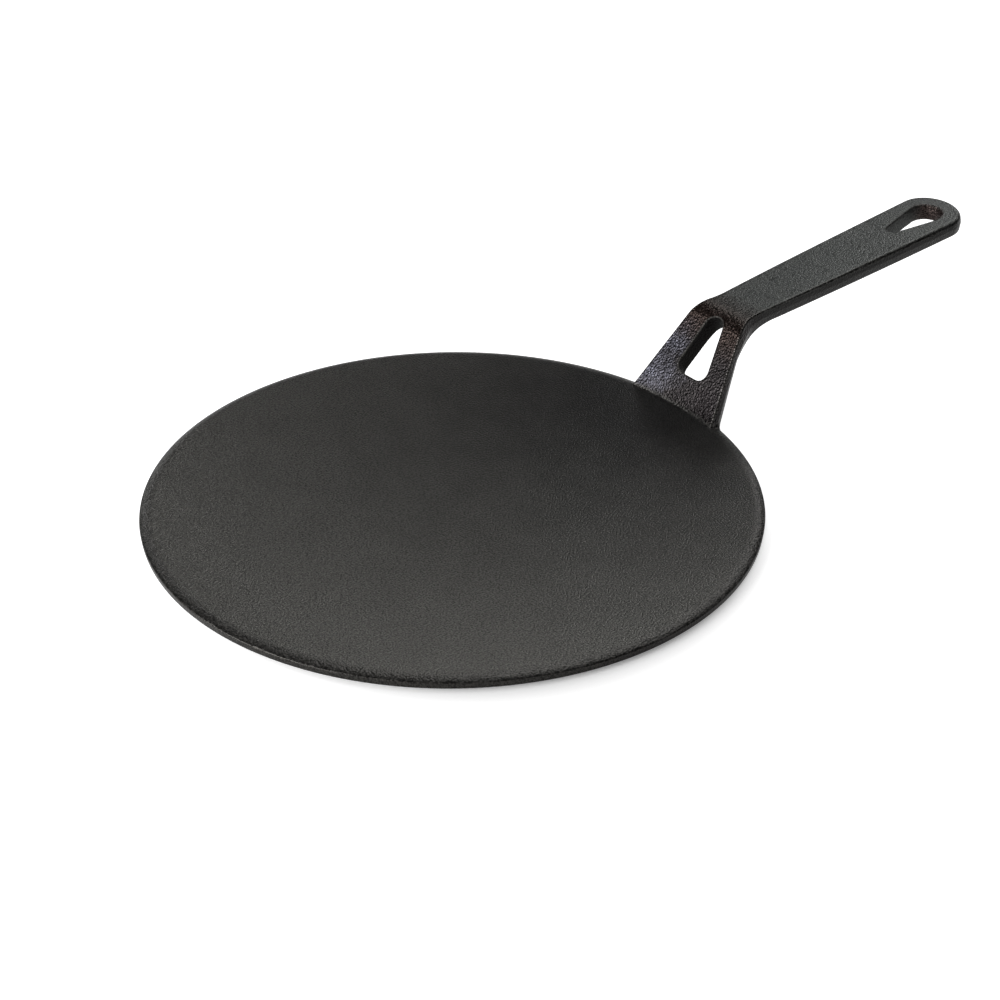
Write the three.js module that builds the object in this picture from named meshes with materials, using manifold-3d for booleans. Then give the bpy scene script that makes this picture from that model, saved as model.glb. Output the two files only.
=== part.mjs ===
// Cast iron tawa: a flat round griddle plate with one handle that rises from the rim.
// Millimetres, +Z up. The origin is the centre of the plate's underside, on the table.
// The handle runs along +X. All but the neck window is symmetric about the XZ plane.

import * as THREE from 'three';
import { mergeVertices } from 'three/addons/utils/BufferGeometryUtils.js';
import Module from 'manifold-3d';

// Griddle plate
const PLATE_RADIUS = 133;
const PLATE_THICKNESS = 4.5;
const ROLL_WIDTH = 5;
const ROLL_DROP = 1.4;
const UNDERSIDE_ROUND = 0.9;
const WALL_DRAFT = 0.3;
const PLATE_SEGMENTS = 120;
const ROLL_STEPS = 6;
const ROUND_STEPS = 4;

// Handle neck, measured along its upper face from the plate to the bend
const FOOT_WIDTH = 51.9;
const NECK_TAPER = 0.456;
const NECK_RUN = 28.7;
const NECK_RISE = 38;
const NECK_THICKNESS = 7.5;
const FOOT_BOW_FADE = 22;
const FOOT_OVERRUN = 2;

// Bend between neck and grip
const BEND_TOP_RADIUS = 13.7;
const BEND_UNDER_RADIUS = 26.5;
const BEND_STEPS = 8;
const WAIST_LENGTH = 22.8;

// Handle grip
const HANDLE_REACH = 300.8;
const GRIP_SLOPE = THREE.MathUtils.degToRad(3.61);
const GRIP_THICKNESS = 7.4;
const GRIP_ROOT_WIDTH = 23.6;
const GRIP_END_WIDTH = 31.9;
const GRIP_BELLY = 1.3;
const SEAM_PAST_FOLD = 18;
const TIP_ROUND_LENGTH = 13.4;
const TIP_FULLNESS = 1.98;

// Cast edge of the handle, from the upper face round to the lower one
const EDGE_ROUND = 0.6;
const PARTING_BULGE = 0.4;
const NECK_DRAFT = 1.06;
const GRIP_DRAFT = 0.25;
const DRAFT_FADE = 10;

// Neck window in the upper and in the lower face. Bottom and top are measured up the neck, and
// a skew is how far the foot or the top of the outline sits to the -Y side.
const WINDOW_UPPER = {
  bottom: 15.9, footWidth: 17.5, corner: 4.7, skew: 0.9, top: 45.1, topRadius: 5.1, topSkew: 0.3,
};
const WINDOW_LOWER = {
  bottom: 13.1, footWidth: 16.6, corner: 4.1, skew: 0.4, top: 42.7, topRadius: 3.9, topSkew: 0.3,
};

// Hang hole, a teardrop through the grip, in the upper and in the lower face
const EYE_FROM_TIP = 16;
const EYE_CENTRE_DISTANCE = 21.4;
const EYE_UPPER = { radius: 8, narrowRadius: 3.2 };
const EYE_LOWER = { radius: 7.2, narrowRadius: 2.9 };
const PUNCH_REACH = 12;

const ARC_STEPS = 12;
const ROW_DIVISIONS = 8;
const NECK_ROWS = 14;
const GRIP_ROWS = 18;
const TIP_ROWS = 12;
const WELD_DISTANCE = 1e-4;

const wasm = await Module();
wasm.setup();

function toSolid(geometry) {
  const bare = geometry.clone();
  bare.deleteAttribute('normal');
  bare.deleteAttribute('uv');
  const welded = mergeVertices(bare, WELD_DISTANCE);
  return new wasm.Manifold(new wasm.Mesh({
    numProp: 3,
    vertProperties: welded.attributes.position.array,
    triVerts: new Uint32Array(welded.index.array),
  }));
}

function toGeometry(solid) {
  const mesh = solid.getMesh();
  const geometry = new THREE.BufferGeometry();
  geometry.setAttribute('position', new THREE.BufferAttribute(mesh.vertProperties, 3));
  geometry.setIndex(new THREE.BufferAttribute(mesh.triVerts, 1));
  geometry.computeVertexNormals();
  return geometry;
}

function slab(low, high) {
  const size = new THREE.Vector3().subVectors(high, low);
  const box = new THREE.BoxGeometry(size.x, size.y, size.z);
  const centre = new THREE.Vector3().addVectors(low, high).multiplyScalar(0.5);
  box.translate(centre.x, centre.y, centre.z);
  return toSolid(box);
}

// Radius at which the flat cooking surface starts to roll down to the rim
const flatRadius = PLATE_RADIUS - ROLL_WIDTH;
const rimHeight = PLATE_THICKNESS - ROLL_DROP;

// The plate is turned about Z: flat underside, rounded lower edge, short drafted wall,
// crisp rim corner, then a convex roll up to the flat cooking surface.
function plateBody() {
  const wallFoot = PLATE_RADIUS - WALL_DRAFT;
  const profile = [new THREE.Vector2(0, 0)];
  for (let i = 0; i <= ROUND_STEPS; i++) {
    const angle = (i / ROUND_STEPS) * Math.PI / 2;
    profile.push(new THREE.Vector2(
      wallFoot - UNDERSIDE_ROUND + UNDERSIDE_ROUND * Math.sin(angle),
      UNDERSIDE_ROUND - UNDERSIDE_ROUND * Math.cos(angle),
    ));
  }
  for (let i = 0; i <= ROLL_STEPS; i++) {
    const across = i / ROLL_STEPS;
    profile.push(new THREE.Vector2(
      PLATE_RADIUS - ROLL_WIDTH * across,
      rimHeight + ROLL_DROP * (1 - (1 - across) ** 2),
    ));
  }
  profile.push(new THREE.Vector2(0, PLATE_THICKNESS));
  const lathe = new THREE.LatheGeometry(profile, PLATE_SEGMENTS);
  lathe.rotateX(Math.PI / 2);
  return lathe;
}

// Side view of the handle: upper and lower lines, each with its own bend radius
const neckSlope = Math.atan2(NECK_RISE, NECK_RUN);
const neckLength = Math.hypot(NECK_RUN, NECK_RISE);
const bendAngle = neckSlope - GRIP_SLOPE;
const halfFoot = FOOT_WIDTH / 2;
const footX = Math.sqrt(flatRadius ** 2 - halfFoot ** 2);
const footBow = flatRadius - footX;
const foldX = footX + NECK_RUN;
const foldZ = PLATE_THICKNESS + NECK_RISE;
const seamX = foldX + SEAM_PAST_FOLD;
const neckAlong = new THREE.Vector2(Math.cos(neckSlope), Math.sin(neckSlope));
const neckDown = new THREE.Vector2(Math.sin(neckSlope), -Math.cos(neckSlope));
const gripAlong = new THREE.Vector2(Math.cos(GRIP_SLOPE), Math.sin(GRIP_SLOPE));
const gripDown = new THREE.Vector2(Math.sin(GRIP_SLOPE), -Math.cos(GRIP_SLOPE));
const foldTop = new THREE.Vector2(foldX, foldZ);

// Corner where the lower faces of neck and grip would meet without a bend
function underFold() {
  const belowNeck = foldTop.clone().addScaledVector(neckDown, NECK_THICKNESS);
  const belowGrip = foldTop.clone().addScaledVector(gripDown, GRIP_THICKNESS);
  const gap = new THREE.Vector2().subVectors(belowGrip, belowNeck);
  const along = gap.cross(gripAlong) / neckAlong.cross(gripAlong);
  return belowNeck.addScaledVector(neckAlong, along);
}
const foldUnder = underFold();
const topTangent = BEND_TOP_RADIUS * Math.tan(bendAngle / 2);
const underTangent = BEND_UNDER_RADIUS * Math.tan(bendAngle / 2);

// Point on a bend of the given radius, turn going from 0 at the neck to 1 at the grip
function bendPoint(corner, radius, tangent, turn) {
  const start = corner.clone().addScaledVector(neckAlong, -tangent);
  const centre = start.addScaledVector(neckDown, radius);
  const angle = neckSlope - bendAngle * turn;
  const up = new THREE.Vector2(-Math.sin(angle), Math.cos(angle));
  return centre.addScaledVector(up, radius);
}

// One station is a distance along the upper face with its upper and lower points
function handleStations() {
  const stations = [];
  const below = PLATE_THICKNESS / Math.sin(neckSlope) + FOOT_OVERRUN;
  const neckEnd = neckLength - topTangent;
  const underStart = foldTop.clone().addScaledVector(neckAlong, -neckLength - below);
  underStart.addScaledVector(neckDown, NECK_THICKNESS);
  const underEnd = foldUnder.clone().addScaledVector(neckAlong, -underTangent);
  for (let i = 0; i < NECK_ROWS; i++) {
    const t = i / NECK_ROWS;
    const s = -below + (neckEnd + below) * t;
    const top = foldTop.clone().addScaledVector(neckAlong, s - neckLength);
    stations.push({ s, top, under: underStart.clone().lerp(underEnd, t) });
  }
  for (let i = 0; i <= BEND_STEPS; i++) {
    const turn = i / BEND_STEPS;
    stations.push({
      s: neckEnd + BEND_TOP_RADIUS * bendAngle * turn,
      top: bendPoint(foldTop, BEND_TOP_RADIUS, topTangent, turn),
      under: bendPoint(foldUnder, BEND_UNDER_RADIUS, underTangent, turn),
    });
  }
  return stations;
}
const bendStations = handleStations();
const bendEnd = bendStations[bendStations.length - 1];

// Upper and lower points at distance s along the upper face, past the bend
function gripPoint(s) {
  const top = bendEnd.top.clone().addScaledVector(gripAlong, s - bendEnd.s);
  const square = top.clone().addScaledVector(gripDown, GRIP_THICKNESS);
  const lead = bendEnd.under.clone().sub(bendEnd.top).dot(gripAlong);
  const fade = Math.max(0, 1 - (s - bendEnd.s) / (tipStart - bendEnd.s));
  return { s, top, under: square.addScaledVector(gripAlong, lead * fade) };
}
const tipEnd = bendEnd.s + (HANDLE_REACH - bendEnd.top.x) / gripAlong.x;
const tipStart = tipEnd - TIP_ROUND_LENGTH;

// Nominal half width at distance s: straight taper, waist at the bend, then a swelling grip
function gripHalfWidth(s) {
  const t = (s - neckLength) / (tipEnd - neckLength);
  const straight = THREE.MathUtils.lerp(GRIP_ROOT_WIDTH, GRIP_END_WIDTH, t);
  return (straight + 4 * GRIP_BELLY * t * (1 - t)) / 2;
}

function halfWidth(s) {
  const waistStart = neckLength - topTangent;
  const waistEnd = waistStart + WAIST_LENGTH;
  const taper = halfFoot - NECK_TAPER * s / 2;
  if (s <= waistStart) return taper;
  if (s >= waistEnd) return gripHalfWidth(s);
  const t = (s - waistStart) / WAIST_LENGTH;
  const blend = t * t * (3 - 2 * t);
  return THREE.MathUtils.lerp(taper, gripHalfWidth(s), blend);
}

// Layers of the cast edge: how far each stands out, how deep it lies in the thickness,
// and whether it belongs to the drafted half below the parting line
const edgeLayers = [
  { out: -EDGE_ROUND, depth: 0, drafted: 0 },
  { out: 0, depth: EDGE_ROUND / GRIP_THICKNESS, drafted: 0 },
  { out: PARTING_BULGE, depth: 0.5, drafted: 0 },
  { out: 0, depth: 1 - EDGE_ROUND / GRIP_THICKNESS, drafted: 1 },
  { out: -EDGE_ROUND, depth: 1, drafted: 1 },
];

// The draft draws the sides in, on the neck more than on the grip
function standOut(layer, s) {
  const fade = THREE.MathUtils.smoothstep(s, neckLength - topTangent, bendEnd.s + DRAFT_FADE);
  return layer.out - layer.drafted * THREE.MathUtils.lerp(NECK_DRAFT, GRIP_DRAFT, fade);
}

// Right edge of one layer as stations with a half width, ending on the centre line
function layerOutline(layer) {
  const sideAt = (s) => halfWidth(s) + standOut(layer, s);
  const rows = bendStations.map((row) => ({ ...row, half: sideAt(row.s) }));
  for (let i = 1; i <= GRIP_ROWS; i++) {
    const s = THREE.MathUtils.lerp(bendEnd.s, tipStart, i / GRIP_ROWS);
    rows.push({ ...gripPoint(s), half: sideAt(s) });
  }
  const power = 2 / TIP_FULLNESS;
  const tipLength = TIP_ROUND_LENGTH + standOut(layer, tipStart);
  for (let i = 1; i <= TIP_ROWS; i++) {
    const angle = (i / TIP_ROWS) * Math.PI / 2;
    const s = tipStart + tipLength * Math.sin(angle) ** power;
    const half = i === TIP_ROWS ? 0 : sideAt(tipStart) * Math.cos(angle) ** power;
    rows.push({ ...gripPoint(s), half });
  }
  return rows;
}

// The foot of the neck follows the rim's circle, and straightens further up
function bowAt(row, y) {
  const fade = THREE.MathUtils.clamp(1 - row.s / FOOT_BOW_FADE, 0, 1);
  return footBow * fade * fade * (1 - Math.min(1, (y / halfFoot) ** 2));
}

function layerPoint(row, depth, y) {
  const point = row.top.clone().lerp(row.under, depth);
  return [point.x + bowAt(row, y), y, point.y];
}

// Closed bar: upper and lower faces in rows, joined by the edge layers down each side
function handleBar() {
  const positions = [];
  const indices = [];
  const outlines = edgeLayers.map(layerOutline);
  const last = outlines[0].length - 1;
  const add = (point) => positions.push(...point) / 3 - 1;

  function faceRows(outline, depth) {
    return outline.map((row, k) => {
      if (k === last) return [add(layerPoint(row, depth, 0))];
      const line = [];
      for (let j = 0; j <= ROW_DIVISIONS; j++) {
        const y = row.half * (2 * j / ROW_DIVISIONS - 1);
        line.push(add(layerPoint(row, depth, y)));
      }
      return line;
    });
  }

  function fillFace(rows, up) {
    const triangle = (a, b, c) => (up ? indices.push(a, b, c) : indices.push(a, c, b));
    for (let k = 0; k < last - 1; k++) {
      for (let j = 0; j < ROW_DIVISIONS; j++) {
        triangle(rows[k][j], rows[k + 1][j], rows[k + 1][j + 1]);
        triangle(rows[k][j], rows[k + 1][j + 1], rows[k][j + 1]);
      }
    }
    for (let j = 0; j < ROW_DIVISIONS; j++) {
      triangle(rows[last - 1][j], rows[last][0], rows[last - 1][j + 1]);
    }
  }

  const bottomLayer = edgeLayers.length - 1;
  const upper = faceRows(outlines[0], 0);
  const lower = faceRows(outlines[bottomLayer], 1);
  fillFace(upper, true);
  fillFace(lower, false);

  // Each ring runs up the right edge, round the tip and back down the left edge
  function ring(layer) {
    if (layer === 0 || layer === bottomLayer) {
      const rows = layer === 0 ? upper : lower;
      const right = rows.slice(0, last).map((row) => row[0]);
      const left = rows.slice(0, last).map((row) => row[ROW_DIVISIONS]);
      return [...right, rows[last][0], ...left.reverse()];
    }
    const depth = edgeLayers[layer].depth;
    const outline = outlines[layer];
    const right = outline.map((row) => add(layerPoint(row, depth, -row.half)));
    const left = outline.slice(0, last).map((row) => add(layerPoint(row, depth, row.half)));
    return [...right, ...left.reverse()];
  }

  const rings = edgeLayers.map((layer, i) => ring(i));
  for (let i = 0; i < bottomLayer; i++) {
    for (let k = 0; k < rings[i].length - 1; k++) {
      const a = rings[i][k];
      const b = rings[i][k + 1];
      const c = rings[i + 1][k + 1];
      const d = rings[i + 1][k];
      indices.push(a, d, c, a, c, b);
    }
  }

  // The buried end of the foot is closed by one flat fan
  const endLoop = [...upper[0]];
  for (let i = 1; i < bottomLayer; i++) endLoop.push(rings[i][rings[i].length - 1]);
  endLoop.push(...[...lower[0]].reverse());
  for (let i = bottomLayer - 1; i > 0; i--) endLoop.push(rings[i][0]);
  const middleLayer = bottomLayer / 2;
  const hub = add(layerPoint(outlines[middleLayer][0], edgeLayers[middleLayer].depth, 0));
  for (let k = 0; k < endLoop.length; k++) {
    indices.push(hub, endLoop[k], endLoop[(k + 1) % endLoop.length]);
  }

  const geometry = new THREE.BufferGeometry();
  geometry.setAttribute('position', new THREE.Float32BufferAttribute(positions, 3));
  geometry.setIndex(indices);
  return geometry;
}

// Outline round a set of circles given in order, as arcs joined by straight sides
function roundedOutline(circles) {
  const points = [];
  const count = circles.length;
  for (let i = 0; i < count; i++) {
    const before = circles[(i + count - 1) % count];
    const here = circles[i];
    const after = circles[(i + 1) % count];
    let start = tangentAngle(before, here);
    const end = tangentAngle(here, after);
    while (start > end) start -= 2 * Math.PI;
    for (let k = 0; k <= ARC_STEPS; k++) {
      const angle = THREE.MathUtils.lerp(start, end, k / ARC_STEPS);
      points.push(new THREE.Vector2(
        here.x + here.r * Math.cos(angle),
        here.y + here.r * Math.sin(angle),
      ));
    }
  }
  return points;
}

// Direction from a circle's centre to where its shared outer tangent touches
function tangentAngle(from, to) {
  const dx = to.x - from.x;
  const dy = to.y - from.y;
  const lean = Math.acos((from.r - to.r) / Math.hypot(dx, dy));
  return Math.atan2(dy, dx) - lean;
}

// Punch through the handle, square to its upper face at the given slope. Its outline runs
// round the upper circles in that face and round the lower ones at the given depth below it.
function punch(upper, lower, depth, origin, slope) {
  const outline = roundedOutline(upper);
  const lowerOutline = roundedOutline(lower);
  const count = outline.length;
  const positions = [];
  for (const height of [PUNCH_REACH, -PUNCH_REACH]) {
    outline.forEach((point, i) => {
      const place = point.clone().lerp(lowerOutline[i], -height / depth);
      positions.push(place.x, place.y, height);
    });
  }
  const indices = [];
  for (const [a, b, c] of THREE.ShapeUtils.triangulateShape(outline, [])) {
    indices.push(a, b, c, count + a, count + c, count + b);
  }
  for (let i = 0; i < count; i++) {
    const next = (i + 1) % count;
    indices.push(i, count + i, count + next, i, count + next, next);
  }
  const body = new THREE.BufferGeometry();
  body.setAttribute('position', new THREE.Float32BufferAttribute(positions, 3));
  body.setIndex(indices);
  body.rotateY(-slope);
  body.translate(origin.x, 0, origin.y);
  return toSolid(body);
}

// The window is a rounded triangle, slightly to one side, as cast
function windowCircles({ bottom, footWidth, corner, skew, top, topRadius, topSkew }) {
  const side = footWidth / 2 - corner;
  return [
    { x: bottom + corner, y: -side - skew, r: corner },
    { x: top - topRadius, y: -topSkew, r: topRadius },
    { x: bottom + corner, y: side - skew, r: corner },
  ];
}

function windowPunch() {
  const upper = windowCircles(WINDOW_UPPER);
  const lower = windowCircles(WINDOW_LOWER);
  const origin = new THREE.Vector2(footX, PLATE_THICKNESS);
  return punch(upper, lower, NECK_THICKNESS, origin, neckSlope);
}

function eyeCircles({ radius, narrowRadius }) {
  return [
    { x: 0, y: 0, r: radius },
    { x: -EYE_CENTRE_DISTANCE, y: 0, r: narrowRadius },
  ];
}

function eyePunch() {
  const upper = eyeCircles(EYE_UPPER);
  const lower = eyeCircles(EYE_LOWER);
  const origin = gripPoint(tipEnd - EYE_FROM_TIP).top;
  return punch(upper, lower, GRIP_THICKNESS, origin, GRIP_SLOPE);
}

const castIron = { color: 0x33332f, roughness: 0.62, metalness: 0.35 };
const neckIron = { color: 0x2e2d30, roughness: 0.5, metalness: 0.4 };
const gripIron = { color: 0x363a37, roughness: 0.58, metalness: 0.35 };

function piece(name, solid, finish) {
  const mesh = new THREE.Mesh(toGeometry(solid), new THREE.MeshStandardMaterial(finish));
  mesh.name = name;
  return mesh;
}

const bar = toSolid(handleBar());
const far = 2 * HANDLE_REACH;
const underNeck = slab(
  new THREE.Vector3(0, -far, UNDERSIDE_ROUND),
  new THREE.Vector3(far, far, PLATE_THICKNESS),
);
const neckSpace = slab(
  new THREE.Vector3(0, -far, PLATE_THICKNESS),
  new THREE.Vector3(seamX, far, far),
);
const gripSpace = slab(
  new THREE.Vector3(seamX, -far, PLATE_THICKNESS),
  new THREE.Vector3(far, far, far),
);

// The plate carries a small lug that fills the rolled rim under the neck's foot
const plate = toSolid(plateBody()).add(bar.intersect(underNeck));
const neck = bar.intersect(neckSpace).subtract(windowPunch());
const grip = bar.intersect(gripSpace).subtract(eyePunch());

const group = new THREE.Group();
group.add(piece('griddle_plate', plate, castIron));
group.add(piece('handle_neck', neck, neckIron));
group.add(piece('handle_grip', grip, gripIron));

export default group;
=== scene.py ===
# %% [markdown]
# A cast iron tawa: a flat round griddle plate with one handle that rises from its rim. The real
# one is poured in one piece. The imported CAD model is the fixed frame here: it gives the size and
# the place of every piece. This script gives each piece its finished form and its surface. It
# goes from the plate to the skin of the iron, the handle, the camera, and the floor and light.

# %% Load the frame
import math
from types import SimpleNamespace

import bmesh
import bpy
import numpy as np
from mathutils import Matrix, Vector


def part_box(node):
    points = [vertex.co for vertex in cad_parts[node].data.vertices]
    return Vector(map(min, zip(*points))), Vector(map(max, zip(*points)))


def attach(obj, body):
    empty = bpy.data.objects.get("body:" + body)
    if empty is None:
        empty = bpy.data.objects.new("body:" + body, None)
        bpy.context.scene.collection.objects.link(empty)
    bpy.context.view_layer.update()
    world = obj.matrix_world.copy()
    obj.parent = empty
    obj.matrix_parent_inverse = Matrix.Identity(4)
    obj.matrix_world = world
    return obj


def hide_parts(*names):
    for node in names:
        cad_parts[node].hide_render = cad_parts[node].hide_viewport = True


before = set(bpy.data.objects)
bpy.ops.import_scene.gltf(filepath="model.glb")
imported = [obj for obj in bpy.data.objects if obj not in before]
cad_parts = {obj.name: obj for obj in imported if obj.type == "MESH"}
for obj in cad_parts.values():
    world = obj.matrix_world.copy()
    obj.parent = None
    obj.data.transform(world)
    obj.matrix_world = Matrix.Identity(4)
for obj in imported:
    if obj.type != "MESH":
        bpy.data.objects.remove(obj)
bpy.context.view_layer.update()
MM = 0.001

# %% [markdown]
# The plate's own box gives the radius, the thickness and the seat of the neck. The grip's box
# gives the seam, where neck and grip meet, and the reach of the tip. Lengths are in millimetres
# until a mesh is finished, and it is then scaled to metres.

# %% Sizes from the frame
plate_low, plate_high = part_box("griddle_plate")
grip_low, grip_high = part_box("handle_grip")
PLATE_RADIUS = -plate_low.x / MM
PLATE_THICKNESS = plate_high.z / MM
SEAM_X = grip_low.x / MM
TIP_X = grip_high.x / MM
GRIP_TOP = grip_high.z / MM
print("plate radius", round(PLATE_RADIUS, 2), "thickness", round(PLATE_THICKNESS, 2))
print("seam", round(SEAM_X, 2), "tip", round(TIP_X, 2), "top of the grip", round(GRIP_TOP, 2))

# %% [markdown]
# The plate is a thin flat disc. Its rim rolls down a little and ends in a short wall, which
# leans so that the pattern could leave the sand. A bevelled cylinder would come close, but the
# roll is no circular arc. So a Geometry Nodes tree lathes the plate: a grid gives a place along
# the profile and a place round the turn, and Map Range nodes walk the profile. The sizes are
# inputs of the tree, and the roll is a formula.

# %% Sizes of the plate
ROLL_WIDTH = 5.0
ROLL_DROP = 1.4
UNDER_ROUND = 0.9
WALL_DRAFT = 0.3
RIM_ROUND = 0.5
FLAT_RADIUS = PLATE_RADIUS - ROLL_WIDTH
RIM_HEIGHT = PLATE_THICKNESS - ROLL_DROP
print("flat surface", round(2 * FLAT_RADIUS, 1), "across, rim", round(RIM_HEIGHT, 1), "high")


# %% Node helpers
def add_node(tree, kind, **settings):
    node = tree.nodes.new(kind)
    for name, value in settings.items():
        setattr(node, name, value)
    return node


def feed(tree, socket, item):
    """Link another node's output to a socket, or set the socket to a plain value."""
    if isinstance(item, bpy.types.NodeSocket):
        tree.links.new(item, socket)
    else:
        socket.default_value = item


def math_node(tree, operation, *values):
    node = add_node(tree, "ShaderNodeMath", operation=operation)
    for socket, value in zip(node.inputs, values):
        feed(tree, socket, value)
    return node.outputs[0]


def plus(tree, a, b):
    return math_node(tree, "ADD", a, b)


def minus(tree, a, b):
    return math_node(tree, "SUBTRACT", a, b)


def times(tree, a, b):
    return math_node(tree, "MULTIPLY", a, b)


def ramp(tree, value, start, end, to_low, to_high):
    """Goes from to_low to to_high while the value goes from start to end, and stays there."""
    node = add_node(tree, "ShaderNodeMapRange", clamp=True)
    names = ("Value", "From Min", "From Max", "To Min", "To Max")
    for name, item in zip(names, (value, start, end, to_low, to_high)):
        feed(tree, node.inputs[name], item)
    return node.outputs[0]


# %% Profile rows of the plate
ROWS = {"underside": 8, "round": 5, "wall": 4, "roll": 14, "top": 30}
ROW_COUNT = sum(ROWS.values())
AROUND = 480


def row_share(name):
    """Share of the profile at which the named stretch ends."""
    names = list(ROWS)
    return sum(ROWS[n] for n in names[:names.index(name) + 1]) / ROW_COUNT


print("profile rows", ROW_COUNT, "with", AROUND, "points round the turn")


# %% Profile of the plate
def plate_profile(tree, size, share):
    """Distance from the axis and height, at a share of the way along the profile's rows."""
    wall_foot = minus(tree, size["Radius"], size["Wall Draft"])
    flat_foot = minus(tree, wall_foot, size["Under Round"])
    flat_top = minus(tree, size["Radius"], size["Roll Width"])
    ends = {name: row_share(name) for name in ROWS}

    under = ramp(tree, share, 0.0, ends["underside"], 0.0, flat_foot)
    quarter = ramp(tree, share, ends["underside"], ends["round"], 0.0, math.pi / 2)
    wall = ramp(tree, share, ends["round"], ends["wall"], 0.0, 1.0)
    roll = ramp(tree, share, ends["wall"], ends["roll"], 0.0, 1.0)
    top = ramp(tree, share, ends["roll"], 1.0, 0.0, flat_top)

    reach = plus(tree, under, times(tree, size["Under Round"], math_node(tree, "SINE", quarter)))
    reach = plus(tree, reach, times(tree, size["Wall Draft"], wall))
    reach = minus(tree, reach, times(tree, size["Roll Width"], roll))
    reach = minus(tree, reach, top)

    rim_height = minus(tree, size["Thickness"], size["Roll Drop"])
    wall_rise = minus(tree, rim_height, size["Under Round"])
    curl = minus(tree, 1.0, math_node(tree, "POWER", minus(tree, 1.0, roll), 2.0))
    height = times(tree, size["Under Round"], minus(tree, 1.0, math_node(tree, "COSINE", quarter)))
    height = plus(tree, height, times(tree, wall_rise, wall))
    height = plus(tree, height, times(tree, size["Roll Drop"], curl))
    return reach, height


# %% Lathe tree
PLATE_INPUTS = {"Radius": PLATE_RADIUS, "Thickness": PLATE_THICKNESS, "Roll Width": ROLL_WIDTH,
                "Roll Drop": ROLL_DROP, "Under Round": UNDER_ROUND, "Wall Draft": WALL_DRAFT}
WELD_DISTANCE = 0.001


def lathe_inputs(tree):
    """Name the tree's inputs, and give the identifier by which the material is set."""
    face = tree.interface
    for name, value in PLATE_INPUTS.items():
        socket = face.new_socket(name, in_out="INPUT", socket_type="NodeSocketFloat")
        socket.default_value = value
    material = face.new_socket("Material", in_out="INPUT", socket_type="NodeSocketMaterial")
    face.new_socket("Geometry", in_out="OUTPUT", socket_type="NodeSocketGeometry")
    return material.identifier


def lathe_tree():
    tree = bpy.data.node_groups.new("plate_lathe", "GeometryNodeTree")
    material_input = lathe_inputs(tree)
    given = add_node(tree, "NodeGroupInput")
    out = add_node(tree, "NodeGroupOutput")

    grid = add_node(tree, "GeometryNodeMeshGrid")
    grid.inputs["Size X"].default_value = 1.0
    grid.inputs["Size Y"].default_value = 1.0
    grid.inputs["Vertices X"].default_value = ROW_COUNT + 1
    grid.inputs["Vertices Y"].default_value = AROUND + 1
    place = add_node(tree, "ShaderNodeSeparateXYZ")
    tree.links.new(add_node(tree, "GeometryNodeInputPosition").outputs[0], place.inputs[0])
    share = plus(tree, place.outputs["X"], 0.5)
    turn = times(tree, plus(tree, place.outputs["Y"], 0.5), 2 * math.pi)
    reach, height = plate_profile(tree, given.outputs, share)

    point = add_node(tree, "ShaderNodeCombineXYZ")
    tree.links.new(times(tree, reach, math_node(tree, "COSINE", turn)), point.inputs["X"])
    tree.links.new(times(tree, reach, math_node(tree, "SINE", turn)), point.inputs["Y"])
    tree.links.new(height, point.inputs["Z"])
    shape = add_node(tree, "GeometryNodeSetPosition")
    tree.links.new(grid.outputs["Mesh"], shape.inputs["Geometry"])
    tree.links.new(point.outputs[0], shape.inputs["Position"])
    weld = add_node(tree, "GeometryNodeMergeByDistance")
    weld.inputs["Distance"].default_value = WELD_DISTANCE
    tree.links.new(shape.outputs[0], weld.inputs["Geometry"])
    real = add_node(tree, "GeometryNodeRealizeInstances")
    tree.links.new(weld.outputs[0], real.inputs["Geometry"])
    coat = add_node(tree, "GeometryNodeSetMaterial")
    tree.links.new(real.outputs[0], coat.inputs["Geometry"])
    tree.links.new(given.outputs["Material"], coat.inputs["Material"])
    tree.links.new(coat.outputs[0], out.inputs["Geometry"])
    return tree, material_input


plate_lathe, material_input = lathe_tree()
print("lathe nodes", len(plate_lathe.nodes))

# %% [markdown]
# Sand cast iron is dark and a little warm. Its skin keeps the grain of the moulding sand, and
# seasoning bakes a thin film of oil on it, so most of its light is a blurred reflection. A
# picture wrapped round the mesh would need seams. Noise on Object coordinates needs none, stays
# put in every view and runs through from piece to piece, as the skin of one casting does. The
# material first works out where a point lies on the casting and which zones it belongs to. Its
# places are in metres, as Object coordinates are.


# %% Texture helpers
def noise_value(tree, place, scale, detail, roughness):
    node = add_node(tree, "ShaderNodeTexNoise", noise_dimensions="3D")
    tree.links.new(place, node.inputs["Vector"])
    node.inputs["Scale"].default_value = scale
    node.inputs["Detail"].default_value = detail
    node.inputs["Roughness"].default_value = roughness
    return node.outputs[0]


def mix_colour(tree, share, first, second):
    node = add_node(tree, "ShaderNodeMix", data_type="RGBA")
    tree.links.new(share, node.inputs["Factor"])
    for socket, value in ((node.inputs[6], first), (node.inputs[7], second)):
        feed(tree, socket, (*value, 1.0) if isinstance(value, tuple) else value)
    return node.outputs[2]


def kept_value(tree, name):
    """A number that a mesh keeps for each of its points, and 0 on a mesh without it."""
    return add_node(tree, "ShaderNodeAttribute", attribute_name=name).outputs["Fac"]


# %% Noise of the iron
CLOUD_SCALE = 45.0
CLOUD_DETAIL = 4.0
PATCH_SCALE = 110.0
PATCH_DETAIL = 3.0
STAIN_ROUGHNESS = 0.6
SAND_SCALE = 1350.0
PEBBLE_SCALE = 1150.0
GRAIN_DETAIL = 0.5
GRAIN_ROUGHNESS = 0.5
NOISE_LOW = 0.3
NOISE_HIGH = 0.7


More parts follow.
